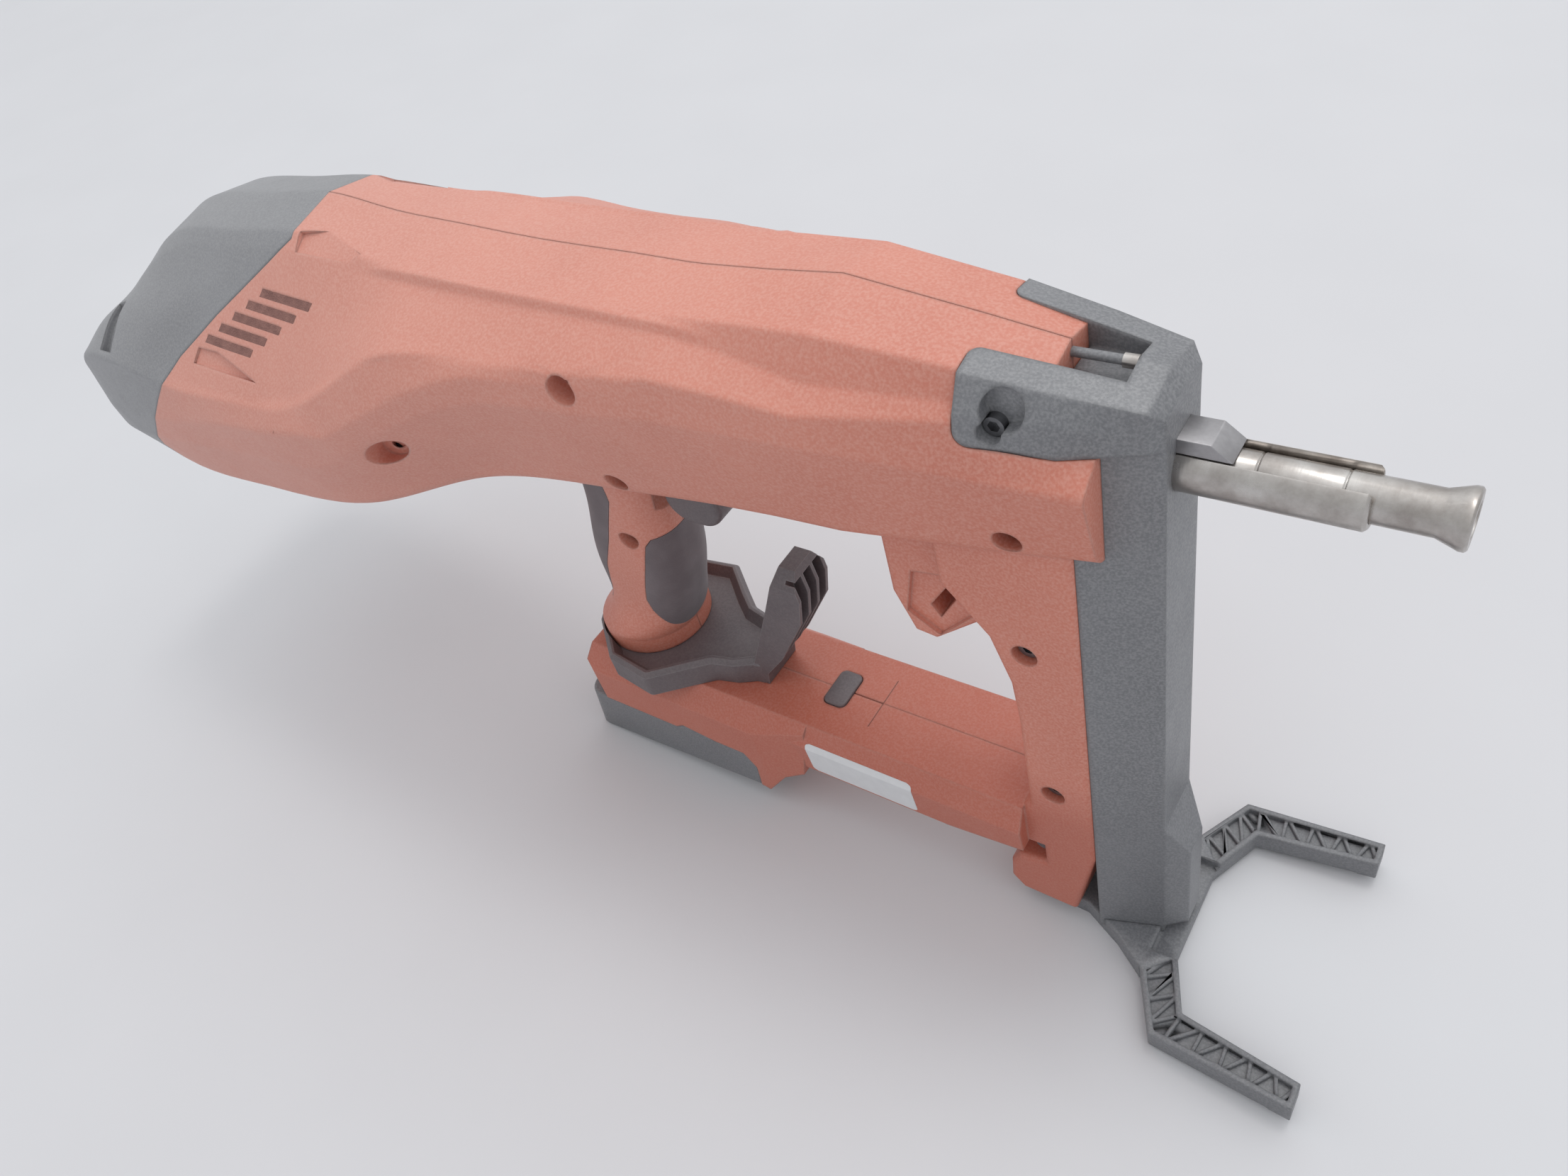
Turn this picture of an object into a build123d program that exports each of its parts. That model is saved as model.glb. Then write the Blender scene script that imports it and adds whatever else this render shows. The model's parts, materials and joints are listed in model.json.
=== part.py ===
# Cordless concrete nailer with a closed handle, a press-in nose and a forked support foot.
# Millimetres. The origin is the centre of the muzzle face: +X points out of the nose, +Z is up, +Y is left.
# Everything behind the column is placed by its distance behind the column's front face.

from build123d import *
from math import atan2, cos, hypot, radians, sin
import os

os.makedirs("parts", exist_ok=True)

# Fits and walls
running_clearance = 0.05
slide_clearance = 0.3
parting_gap = 0.3
seam_gap = 0.24
bar_seam_gap = 0.08

# Nose
nose_reach = 59.0
guide_radius = 5.25
fastener_bore_radius = 4.2
muzzle_radius = 6.85
muzzle_flare = 6.3
muzzle_rim = 1.6
guide_ring_marks = (24.4, 42.2)
guide_stroke = 11.0
guide_flange_radius = 6.9
guide_flange_length = 3.0
sleeve_radius = 7.2
sleeve_setback = 18.6
sleeve_slot = 9.4
lock_block_top = 9.6
lock_block_length = 7.5

# Column and its bracket head
column_depth = 20.0
column_front_half = 10.3
column_back_half = 17.0
column_drop = 200.0
column_prow = 6.4
column_prow_half = 5.0
column_prow_height = 60.0
column_socket = 4.0
arm_end = 44.0
arm_pocket_front = 9.8
arm_pocket_front_half = 7.2
arm_pocket_back_half = 10.4
arm_underside = 11.0
arm_headroom = 8.0
arm_top_round = 3.0
arm_low_round = 4.0
head_pocket_floor = 20.5
roof_tongue_front = 25.2

# Frame behind the column
frame_depth = 21.0
frame_half = 18.5
tooth_half = 13.0
edge_round = 2.4

# Lower bar and foot
bar_top = -143.5
bar_height = 33.5
bar_top_half = 19.5
bar_side_half = 23.5
foot_half = 26.5
foot_back = 241.0
foot_front = 154.0
skirt_top = -170.3
skirt_bottom = -193.6
skirt_front_bottom = -188.6
skirt_wall = 3.2
skirt_slant = 4.0
skirt_round = 7.0
bay_ceiling = -172.5
rail_depth = 3.0
rail_span = (-186.0, -182.0)
button_length = 9.0
button_round = 2.4
button_width = 15.6
button_travel = 1.5
button_back = 123.0
button_proud = 0.9

# Grip and hook swivel
grip_rubber = 2.4
collar_back = 208.0
collar_radius = 21.2
collar_bottom = -136.0
neck_radius = 17.0
hook_rim_top = -132.0
finger_half = 9.0
finger_ribs = 3

# Trigger
trigger_half = 8.0
trigger_front = 146.5
trigger_length = 23.0
trigger_bottom = -65.0
trigger_round = 9.0
trigger_edge = 2.2
trigger_pocket_gap = 0.9
trigger_travel = 6.0
trigger_top = -38.5
trigger_stem = 4.5
trigger_head_low = -28.0

# Support foot
fork_height = 8.5
fork_rim = 1.9
fork_floor = 2.6
fork_rib = 1.2
fork_reach = 54.0
fork_tip_outer = 50.2
fork_tip_inner = 41.4
fork_keel = 9.0

# Screws
screw_head_radius = 3.0
screw_head_height = 2.4
screw_shank_radius = 1.7
screw_land_radius = 4.2
screw_counterbore = 3.9

# Drive line
piston_radius = fastener_bore_radius - running_clearance
piston_head_radius = 9.4
piston_stroke = 30.0
barrel_radius = 13.0
barrel_back = 118.0
spindle_radius = 5.0
spindle_lead = 6.0
spindle_turns = 4
nut_travel = spindle_lead * spindle_turns
gear_teeth = 36
pinion_teeth = 12
gear_module = 1.5
tooth_root_share = 0.33
tooth_tip_share = 0.11
motor_radius = 23.0
shaft_radius = 2.5

column_front = -nose_reach
column_back = column_front - column_depth
frame_back = column_back - frame_depth
collar_x = column_front - collar_back
motor_z = -gear_module * (gear_teeth + pinion_teeth) / 2


def behind(distance):
    return column_front - distance


def block(x0, x1, y0, y1, z0, z1):
    size = Box(abs(x1 - x0), abs(y1 - y0), abs(z1 - z0))
    return Pos((x0 + x1) / 2, (y0 + y1) / 2, (z0 + z1) / 2) * size


def rod_x(radius, x0, x1, y=0.0, z=0.0):
    return Pos((x0 + x1) / 2, y, z) * Rot(0, 90, 0) * Cylinder(radius, abs(x1 - x0))


def rod_y(radius, y0, y1, x, z):
    return Pos(x, (y0 + y1) / 2, z) * Rot(90, 0, 0) * Cylinder(radius, abs(y1 - y0))


def rod_z(radius, z0, z1, x, y=0.0):
    return Pos(x, y, (z0 + z1) / 2) * Cylinder(radius, abs(z1 - z0))


def ring_x(outer, inner, x0, x1, z=0.0):
    return rod_x(outer, x0, x1, 0, z) - rod_x(inner, x0 - 1, x1 + 1, 0, z)


# Side outline (x, z) swept across Y from y0 to y1.
def side_prism(points, y0, y1):
    face = make_face(Polyline(*[(x, y0, z) for x, z in points], close=True))
    return extrude(face, amount=y1 - y0, dir=(0, 1, 0))


# Plan outline (x, y) swept up from z0 to z1.
def plan_prism(points, z0, z1):
    face = make_face(Polyline(*[(x, y, z0) for x, y in points], close=True))
    return extrude(face, amount=z1 - z0, dir=(0, 0, 1))


# Front outline (y, z) swept along X from x0 to x1.
def front_prism(points, x0, x1):
    face = make_face(Polyline(*[(x0, y, z) for y, z in points], close=True))
    return extrude(face, amount=x1 - x0, dir=(1, 0, 0))


def write(shape, node):
    export_step(shape, f"parts/{node}.step")


# Main body: cross-sections from the column to the tail, each half drawn from the roof's centre line
# out over the roof edge, the ledge, the side ridge and the belly corner to the keel.
def station(back, roof, edge, foot, ridge, band, corner, keel):
    return {"x": behind(back), "points": [(0.0, roof), edge, foot, ridge, band, corner, (0.0, keel)]}


body_stations = [
    station(13, 26.4, (12.4, 22.8), (15.5, 14), (18.6, 9.4), (25.2, 4.6), (18.6, -22.5), -23.5),
    station(45, 31.4, (17.8, 29.2), (20.6, 21.8), (24, 18.6), (26.6, 4.5), (21, -26.8), -28.2),
    station(83, 36.7, (20.4, 33.2), (26, 22.8), (33, 18.2), (33.8, 9), (25, -29.2), -30.5),
    station(106, 34.6, (20.6, 32.4), (24.6, 26), (34.2, 20.6), (35.2, 9), (25, -30.8), -32),
    station(126, 33.3, (21, 31.2), (24.4, 28), (35.6, 22), (36.8, 9), (25, -32.8), -34.2),
    station(146, 33.3, (21.3, 31), (24.7, 27.8), (37.4, 21.2), (38.4, 8), (25.9, -34.7), -36.3),
    station(158, 33.3, (21.5, 30.9), (24.9, 27.7), (38.4, 20.6), (39.4, 7.6), (26.5, -35.9), -37.6),
    station(191, 33.3, (22, 30.6), (25.4, 27.4), (41.5, 19), (42, 6), (28, -39), -41),
    station(224, 34.6, (21.5, 31.6), (24.8, 28.2), (46, 17), (45, -5), (31, -44.2), -47.5),
    station(253, 36, (20.4, 32.6), (24, 29), (51, 3), (48.6, -20), (37, -53), -58.5),
    station(281, 39, (18, 35.2), (22.8, 31), (54, -8.5), (51.4, -34), (43.5, -62), -69),
    station(316, 35.4, (18, 31.8), (22.4, 28), (55.4, -12), (53.2, -38), (47, -68), -75),
    station(351, 31.8, (17.4, 28.4), (22, 24.6), (56, -14), (54.6, -41), (48.5, -70), -76),
    station(381, 20.5, (17.4, 17.4), (25, 13.6), (56.4, -11), (56, -44), (50, -71), -75.5),
    station(406, 4, (18, 1.4), (27, -0.8), (55.8, -10.5), (56, -46.5), (49, -70), -73.5),
    station(424, -11, (17.5, -13), (27, -14.6), (53.4, -18.5), (54, -48.5), (46, -67), -69.5),
    station(436, -25, (16, -26.4), (25, -27.2), (48, -29.5), (49, -50), (40, -62.5), -64),
    station(442, -34, (14, -35), (21, -35.4), (41, -36.8), (41.5, -50.5), (34, -58.5), -59.5),
]
body_rounds = [1.2, 1.2, 2.0, 3.5, 7.0]
least_round_arc = 1.6
faceted_stations = 5


# Where an outline hardly turns, its round gets wider so that the rounded strip keeps a real width.
def section_rounds(points):
    rounds = []
    for base, before, corner, after in zip(body_rounds, points, points[1:], points[2:]):
        heading_in = atan2(corner[1] - before[1], corner[0] - before[0])
        heading_out = atan2(after[1] - corner[1], after[0] - corner[0])
        rounds.append(max(base, least_round_arc / abs(heading_out - heading_in)))
    return rounds


def right_section(place, points):
    path = [(place, -y, z) for y, z in points]
    outline = FilletPolyline(*path, radius=section_rounds(points))
    return make_face(Curve() + [outline, Line(path[-1], path[0])])


# The roof block in front is faceted, and the rest flows smoothly to the tail.
def body_half():
    sections = [right_section(s["x"], s["points"]) for s in body_stations]
    front = loft(sections[:faceted_stations], ruled=True)
    return front + loft(sections[faceted_stations - 1:])


# Side outlines below are (distance behind the column's front face, height).
def outline(points):
    return [(behind(back), z) for back, z in points]


def rounded_right(points, half, radius):
    slab = side_prism(outline(points), -half, 0)
    return fillet(slab.edges().group_by(Axis.Y)[0], radius)


# Region behind the slanted parting line between the shells and the tail cap.
cap_line = [(279, 60), (282.5, 33.5), (293, 27.3), (325, 9)]
cap_line += [(347, -5), (366, -21.5), (402, -55), (409, -90)]


def tail_region():
    return side_prism(outline(cap_line + [(470, -90), (470, 60)]), -80, 80)


# Grip: rounded sections (height, front, back, half width, corner radius), front and back as distances.
grip_sections = [
    (-26, 170, 205, 18, 13),
    (-45, 171, 204, 17, 13.5),
    (-62, 172.5, 207.5, 16.2, 14),
    (-78, 173.5, 212.5, 16, 14),
    (-92, 174.6, 215.7, 16, 14),
    (-104, 177.6, 216.6, 16, 14.5),
    (-112, 180.2, 217.6, 16.3, 15),
    (-120, 183, 221, 18.2, 17),
    (-129, collar_back - collar_radius, collar_back + collar_radius, collar_radius, collar_radius - 0.2),
]


def grip_form(inset):
    faces = []
    for z, front, back, half, radius in grip_sections:
        size = RectangleRounded(back - front - 2 * inset, 2 * (half - inset), radius - inset)
        faces.append(Pos(behind((front + back) / 2), 0, z) * size)
    return loft(faces)


rear_pad_line = [(186, -40), (187, -56), (196.5, -77), (203.5, -91)]
rear_pad_line += [(208.5, -106), (215, -117), (250, -117), (250, -40)]
front_pad_line = [(160, -74.3), (178.4, -74.3), (180.6, -77), (183.8, -87), (188.2, -99), (190.4, -106)]
front_pad_line += [(190, -112), (188, -119), (186.6, -124.5), (186.2, -127.5), (160, -127.5)]


def pad_region(points, grow):
    face = make_face(Polyline(*[(x, -40, z) for x, z in outline(points)], close=True))
    return extrude(offset(face, amount=grow, kind=Kind.INTERSECTION), amount=80, dir=(0, 1, 0))


def grip_pad(points, grow=0.0):
    skin = grip_form(0) - grip_form(grip_rubber)
    return skin & pad_region(points, grow) if grow else skin & side_prism(outline(points), -40, 40)


# Column bracket: a tapered post with a forked head that reaches back over the shells.
def post_plan(grow):
    front, back = column_front_half + grow, column_back_half + grow
    return [(column_front, -front), (column_front, front), (column_back, back), (column_back, -back)]


def post_form(grow, z0, z1):
    return plan_prism(post_plan(grow), z0, z1)


head_sections = [
    (arm_end, 32.0, (18.7, 28.9), (23.2, 20.4), (24.8, 13.0)),
    (21.0, 28.4, (16.2, 25.4), (19.6, 19.0), (20.6, arm_underside)),
    (3.0, 25.2, (13.6, 22.4), (13.4, 16.5), (13.2, arm_underside)),
    (0.0, 21.4, (10.6, 19.0), (10.4, 15.0), (10.3, arm_underside)),
]


def head_form(grow, rise):
    faces = []
    for back, crown, shoulder, side, foot in head_sections:
        x = behind(back + (grow if back == arm_end else 0))
        half = [(0, crown + rise), (shoulder[0] + grow, shoulder[1] + rise)]
        half += [(side[0] + grow, side[1] + rise), (foot[0] + grow, foot[1] - grow)]
        loop = [(x, -y, z) for y, z in half] + [(x, y, z) for y, z in reversed(half[1:])]
        faces.append(make_face(Polyline(*loop, close=True)))
    shape = loft(faces, ruled=True)
    low_end = shape.edges().filter_by(Axis.Y).group_by(Axis.X)[0]
    return fillet(low_end, arm_low_round + grow)


# Rounds the arms' upright edges beside the pocket, at their rear ends.
def rounded_arms(shape):
    return fillet(shape.edges().filter_by(Axis.Z).group_by(Axis.X)[0], arm_top_round)


head_top = 60.0


def arm_pocket(front, floor=arm_underside):
    slope = (arm_pocket_back_half - arm_pocket_front_half) / (arm_end - arm_pocket_front)
    near = arm_pocket_front_half + slope * (front - arm_pocket_front)
    far = arm_pocket_back_half + slope * 4
    plan = [(behind(front), -near), (behind(front), near)]
    plan += [(behind(arm_end + 4), far), (behind(arm_end + 4), -far)]
    return plan_prism(plan, floor, head_top)


arm_screw_back = 35.8
arm_screw_z = 16.2
arm_screw_floor = 17.2
arm_screw_tip = 5.0
arm_screw_head = 2.6
arm_recesses = [(arm_screw_back, arm_screw_z, 3.0), (33.0, 21.5, 5.2)]
hole_clearance = 0.1
rod_z_level = 24.9
rod_radius = 1.2
rod_anchor = 5.0
ferrule_radius = 1.7
ferrule_length = 3.4
foot_z = -column_drop - column_socket


def nose_bracket():
    shape = post_form(0, foot_z, arm_underside) + head_form(0, 0)
    tip = column_front + column_prow
    low, high = -column_drop, -column_drop + column_prow_height
    side = [(column_front, high), (tip, high - 16), (tip, low), (column_front, low)]
    plan = [(column_front, column_front_half), (tip, column_prow_half)]
    plan += [(tip, -column_prow_half), (column_front, -column_front_half)]
    shape += side_prism(side, -30, 30) & plan_prism(plan, low, high)
    shape -= arm_pocket(arm_pocket_front, head_pocket_floor)
    shape -= arm_pocket(roof_tongue_front - parting_gap)
    shape = rounded_arms(shape)
    shape -= rod_x(sleeve_radius, column_back - 1, column_front + 1)
    shape -= lock_block()
    for sign in (-1, 1):
        for back, z, radius in arm_recesses:
            shape -= rod_y(radius, sign * arm_screw_floor, sign * 40, behind(back), z)
        shape -= rod_y(screw_shank_radius + hole_clearance, 0, sign * 30, behind(arm_screw_back), arm_screw_z)
    return shape


def lock_block():
    half = sleeve_slot / 2 - hole_clearance
    low = guide_radius + slide_clearance
    rear = column_front - 4
    side = [(rear, low), (rear, lock_block_top), (column_front + lock_block_length, lock_block_top)]
    side += [(column_front + lock_block_length + 5, low)]
    return side_prism(side, -half, half)


def nose_sleeve():
    front = -sleeve_setback
    shape = ring_x(sleeve_radius, guide_radius + running_clearance, column_back, front)
    half = sleeve_slot / 2
    shape -= block(column_front - 4, front + 1, -half, half, 0, 20)
    outer_end = shape.edges().filter_by(GeomType.CIRCLE).group_by(Axis.X)[-1].sort_by(SortBy.RADIUS)[-1]
    return chamfer(outer_end, 0.8)


flange_x = column_back - 0.2
guide_back = flange_x - guide_flange_length


def fastener_guide():
    half = [(guide_back, guide_flange_radius), (flange_x, guide_flange_radius), (flange_x, guide_radius)]
    for mark in reversed(guide_ring_marks):
        half += [(-mark - 0.4, guide_radius), (-mark, guide_radius - 0.35), (-mark + 0.4, guide_radius)]
    half += [(-muzzle_flare, guide_radius), (-muzzle_rim, muzzle_radius), (-0.5, muzzle_radius)]
    half += [(0, muzzle_radius - 0.5), (0, fastener_bore_radius)]
    half += [(guide_back, fastener_bore_radius)]
    face = make_face(Polyline(*[(x, 0, r) for x, r in half], close=True))
    return revolve(face, Axis.X)


barrel_front = behind(45)


def bracket_rod():
    return rod_x(rod_radius, behind(roof_tongue_front + rod_anchor), behind(arm_pocket_front), 0, rod_z_level)


def rod_ferrule():
    x0, x1 = behind(arm_pocket_front + ferrule_length), behind(arm_pocket_front)
    return ring_x(ferrule_radius, rod_radius, x0, x1, rod_z_level)


def side_screw(x, z, floor, tip, sign, head_radius=screw_head_radius):
    head = rod_y(head_radius, sign * floor, sign * (floor + screw_head_height), x, z)
    socket = Pos(x, sign * (floor + screw_head_height), z) * Rot(90, 0, 0)
    head -= socket * extrude(RegularPolygon(1.6, 6), amount=1.6, both=True)
    return head + rod_y(screw_shank_radius, sign * floor, sign * tip, x, z)


def bracket_screws():
    place = (behind(arm_screw_back), arm_screw_z, arm_screw_floor, arm_screw_tip)
    return [side_screw(*place, sign, arm_screw_head) for sign in (-1, 1)]


# Shell screws: distance behind the column, height, seat depth from the middle plane, access radius.
shell_screws = [
    (152, 17, 32.0, 5.4),
    (248, -27, 38.5, screw_counterbore),
    (161.5, -29, 21.0, screw_counterbore),
    (186, -74, 9.6, 3.8),
    (35, -18, 14.5, screw_counterbore),
    (36, -65, 13.5, screw_counterbore),
    (32, -130, 13.5, screw_counterbore),
]
screw_reach = 9.0


def housing_screws():
    return [side_screw(behind(back), z, seat, -screw_reach, -1) for back, z, seat, access in shell_screws]


frame_line = [(20, -5), (20, -162), (28, -198.6), (47.8, -198.2), (52.2, -192.5), (51.5, -183), (48, -176)]
frame_line += [(38, -174), (38, -164), (46, -164.5), (46, -146), (41, -140), (41, -97), (42, -80)]
frame_line += [(47, -62), (60, -45), (60, -5)]
tooth_line = [(44, -64), (52.5, -64.6), (67.7, -78), (75.2, -77), (80.6, -61.5), (80.6, -20), (44, -20)]
tether_facet = [(55, -47), (53, -61), (66, -75), (76, -68), (72, -50)]
tether_slot = [(60.7, -52.5), (59.6, -59), (65.6, -68.5), (68.4, -64)]
tether_recess = 1.6
claw_pin_radius = 2.6
claw_pin_half = 15.0
claw_pin_back = 39.5
claw_pin_z = -168.6

bar_section = [(0, bar_top), (-bar_top_half, bar_top), (-bar_side_half, -153), (-22.2, -168)]
bar_section += [(-14, bar_top - bar_height), (0, bar_top - bar_height)]
bar_underside = [(40, -163.6), (46, -164.5), (135, -177), (135, -210), (40, -210)]
skirt_line = [(foot_back, skirt_top), (192, skirt_top), (188, -167.6), (172, -169.6), (158.5, -169.6)]
skirt_line += [(foot_front, -176.5), (foot_front + 1, skirt_front_bottom)]
foot_line = [(127, bar_top), (foot_back - 9, bar_top), (foot_back - 7, -151)] + skirt_line
foot_line += [(151, -189.4), (142, -178), (133, -173)]
foot_section = [(0, bar_top), (-bar_top_half, bar_top), (-foot_half, -153), (-foot_half, -200), (0, -200)]
foot_plan = [(behind(foot_back), 0), (behind(foot_back), -20), (behind(229.5), -foot_half)]
foot_plan += [(behind(150), -foot_half), (behind(127), -22), (behind(127), 0)]

board_room = (150, 95, 16.0, -166.0, -147.5)
grip_room = (198, 182, 9.5, -68.0, -44.0)
trigger_back = trigger_front + trigger_length
window_half = trigger_half + slide_clearance
plunger_half = 3.0


def lower_frame():
    shape = rounded_right(frame_line, frame_half, edge_round)
    tooth = rounded_right(tooth_line, tooth_half, edge_round)
    tooth -= side_prism(outline(tether_facet), -30, tether_recess - tooth_half)
    bar = front_prism(bar_section, behind(140), behind(43))
    bar -= side_prism(outline(bar_underside), -40, 5)
    foot = side_prism(outline(foot_line), -foot_half, 0)
    foot &= front_prism(foot_section, behind(260), behind(120))
    foot &= plan_prism(foot_plan, -210, -130)
    return shape + tooth + bar + foot


def right_grip():
    shape = grip_form(0)
    base = shape.faces().sort_by(Axis.Z)[0]
    shape += extrude(base, amount=base.center().Z - collar_bottom, dir=(0, 0, -1))
    shape += rod_z(neck_radius, bar_top - 2, collar_bottom + 1, collar_x)
    return shape & block(-600, 0, -60, 0, -300, 100)


def room(size):
    back, front, half, low, high = size
    return block(behind(back), behind(front), -half, 1, low, high)


# Rooms for the drive line, cut into both shells and the tail cap.
bearing_back = 285.0
bearing_width = 8.0
bearing_radius = 11.0
motor_front = 327.0
motor_length = 60.0
nut_back = 203.0
nut_length = 10.0
carrier_radius = 11.0
gear_back = 311.0
gear_width = 10.0
fan_back = 299.0
fan_radius = 18.5
fan_width = 8.0
room_clearance = 2.0


def drive_rooms():
    shape = rod_x(barrel_radius, barrel_front, behind(barrel_back))
    shape += rod_x(carrier_radius + room_clearance, behind(barrel_back), behind(bearing_back))
    shape += rod_x(bearing_radius, behind(bearing_back), behind(bearing_back + bearing_width))
    gear_tip = gear_module * (gear_teeth / 2 + 1)
    pinion_tip = gear_module * (pinion_teeth / 2 + 1)
    x0, x1 = behind(motor_front - 2), behind(gear_back - 2)
    shape += rod_x(gear_tip + room_clearance, x0, x1)
    shape += rod_x(pinion_tip + room_clearance, x0, x1, 0, motor_z)
    shape += rod_x(spindle_radius + room_clearance, x1 - 1, behind(bearing_back + bearing_width) + 1)
    shape += rod_x(fan_radius + room_clearance, x1, behind(fan_back - 4), 0, motor_z)
    shape += rod_x(shaft_radius + room_clearance, behind(motor_front) - 1, x0 + 1, 0, motor_z)
    return shape + rod_x(motor_radius, behind(motor_front + motor_length), behind(motor_front), 0, motor_z)


vent_slots = 5
vent_first = (269, 19.5)
vent_step = (8.2, -4.1)
vent_length = 28.0
vent_height = 1.7
vent_recess = [(335.5, -29.5), (323, -29.3), (297.8, -35.8), (338, -35.4)]
vent_recess_floor = 33.4
vent_slope = (0, -0.771, 0.636)


# A cut drawn (distance, up the slope) on a slope's own plane, from the floor's depth outward.
def slope_cut(points, floor):
    face = make_face(Polyline(*[(behind(back), rise, floor) for back, rise in points], close=True))
    return extrude(face, amount=10, dir=(0, 0, 1))


def vents():
    shape = Part()
    for index in range(vent_slots):
        back = vent_first[0] + vent_step[0] * index
        z = vent_first[1] + vent_step[1] * index
        shape += block(behind(back), behind(back + vent_length), -60, -12, z - vent_height, z)
    slant = Plane(origin=(0, 0, 0), x_dir=(1, 0, 0), z_dir=vent_slope)
    return shape + slant * slope_cut(vent_recess, vent_recess_floor)


# Facet that widens the ledge beside the tail cap.
ledge_facet = [(279, 3.0), (267, 5.3), (248, -0.3), (252, -3.6), (279, -3.6)]
ledge_facet_floor = 37.7
ledge_slope = (0, -0.514, 0.857)


def ledge_cut():
    slant = Plane(origin=(0, 0, 0), x_dir=(1, 0, 0), z_dir=ledge_slope)
    return slant * slope_cut(ledge_facet, ledge_facet_floor)


def bracket_clearance():
    grow = parting_gap
    shape = rounded_arms(head_form(grow, arm_headroom) - arm_pocket(roof_tongue_front))
    return shape + plan_prism(post_plan(grow), -300, arm_underside)


# The finger piece, or the pocket that it slides back into.
def trigger_form(grow, reach):
    half = trigger_half + grow
    x0, x1 = behind(trigger_back + reach) - grow, behind(trigger_front)
    shape = block(x0, x1, -half, half, trigger_bottom - grow, trigger_top + grow)
    return fillet(shape.edges().filter_by(Axis.Y).group_by(Axis.Z)[0], trigger_round + grow)


def trigger_window():
    grow = slide_clearance
    stem_back = behind(trigger_front + trigger_stem + trigger_travel) - grow
    front = behind(trigger_front) + grow
    window = block(stem_back, front, -window_half, 1, trigger_top - 2, -22)
    window += block(stem_back, front, -window_half - 2, 1, trigger_head_low - grow, -22)
    window += trigger_form(trigger_pocket_gap, trigger_travel)
    plunger_room = block(behind(grip_room[1]) - 1, behind(trigger_back), -plunger_half - 1, 1, -55, -47)
    return window + plunger_room


def button_window():
    x = behind(button_back)
    half = button_width / 2 + slide_clearance
    reach = button_length / 2 + slide_clearance
    hole = block(x - reach, x + reach, -half, half, bar_top - 10, bar_top + 5)
    return fillet(hole.edges().filter_by(Axis.Z), button_round + slide_clearance)


# Fine groove in the bar's top: along the middle ahead of the button, then across to the right.
groove_width = 0.3
groove_depth = 0.5
groove_turn = 106.0
groove_reach = 11.0


def parting_groove():
    x0, x1 = behind(button_back), behind(groove_turn)
    low, high = bar_top - groove_depth, bar_top + 1
    shape = block(x0, x1, -groove_width, 1, low, high)
    return shape + block(x1 - groove_width, x1, -groove_reach, 1, low, high)


def common_right():
    shape = body_half() + lower_frame() + right_grip()
    shape -= drive_rooms()
    shape -= room(board_room)
    shape -= room(grip_room)
    shape -= trigger_window()
    shape -= button_window()
    shape -= vents()
    shape -= ledge_cut()
    shape -= side_prism(outline(tether_slot), -30, 30)
    shape -= bracket_clearance()
    shape -= rod_x(guide_flange_radius + slide_clearance, barrel_front - 1, column_back + 1)
    shape -= rod_x(rod_radius, behind(roof_tongue_front + rod_anchor), behind(20), 0, rod_z_level)
    shape -= rod_y(claw_pin_radius, -claw_pin_half, 1, behind(claw_pin_back), claw_pin_z)
    shape -= grip_pad(rear_pad_line, 0.2)
    shape -= grip_pad(front_pad_line, 0.2)
    hole = screw_shank_radius + hole_clearance
    shape -= rod_y(hole, -30, 1 - arm_screw_tip, behind(arm_screw_back), arm_screw_z)
    shape -= tail_region()
    shape -= block(-600, 100, -seam_gap / 2, 5, collar_bottom, 100)
    shape -= block(-600, 100, -bar_seam_gap / 2, 5, -300, collar_bottom)
    shape -= parting_groove()
    for back, z, seat, access in shell_screws:
        shape += rod_y(screw_land_radius, -1, 0, behind(back), z)
    return shape


def shell_holes(shape, right):
    for back, z, seat, access in shell_screws:
        shape -= rod_y(screw_shank_radius + hole_clearance, -60, 60, behind(back), z)
        if right:
            shape -= rod_y(access, -70, -seat, behind(back), z)
    return shape


# A cord slot across each shoulder of the tail: its span behind the column and its section (y, z).
tail_slot_span = (397, 389.5)
tail_slot_section = [(-37.5, 20), (-37.5, -3), (-54, -12.5), (-54, 20)]


def outline_span(span):
    return [behind(back) for back in span]


def rear_cap():
    right = (body_half() - drive_rooms()) & tail_region()
    right -= front_prism(tail_slot_section, *outline_span(tail_slot_span))
    return right + mirror(right, about=Plane.XZ)


# Hook: a dished plate that swivels on the neck under the grip's collar, with an upright ribbed finger.
hook_plan = [(-22, 8), (-19, 14), (-2, 29), (18, 31.8), (31.4, 20.6), (38, 15.3), (46.5, 13.2)]
hook_plan += [(53, 9.6), (58, 9)]
dish_plan = [(-17, 4), (-14.5, 10.4), (0, 24), (16.5, 26), (28, 16), (35.5, 10.2), (45, 8), (50, 5)]
finger_side = [(52, -136.6), (68, -100), (77.5, -77), (84, -77), (85.5, -88), (83, -100), (69, -124)]
finger_side += [(59, -137), (58, -143.2), (50, -143.2)]
finger_groove_side = [(96, -80.5), (80.8, -80.5), (80, -88), (76.5, -100), (64, -122)]
finger_groove_side += [(66, -129), (96, -100)]
finger_wall = 1.3
hook_round = 3.0
hook_bevel = 1.6
dish_slope = 32.0


def hook_outline(points):
    return [(collar_x + u, y) for u, y in points] + [(collar_x + u, -y) for u, y in reversed(points)]


def hook_side(points, half, y=0.0):
    return side_prism([(collar_x + u, z) for u, z in points], y - half, y + half)


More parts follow.
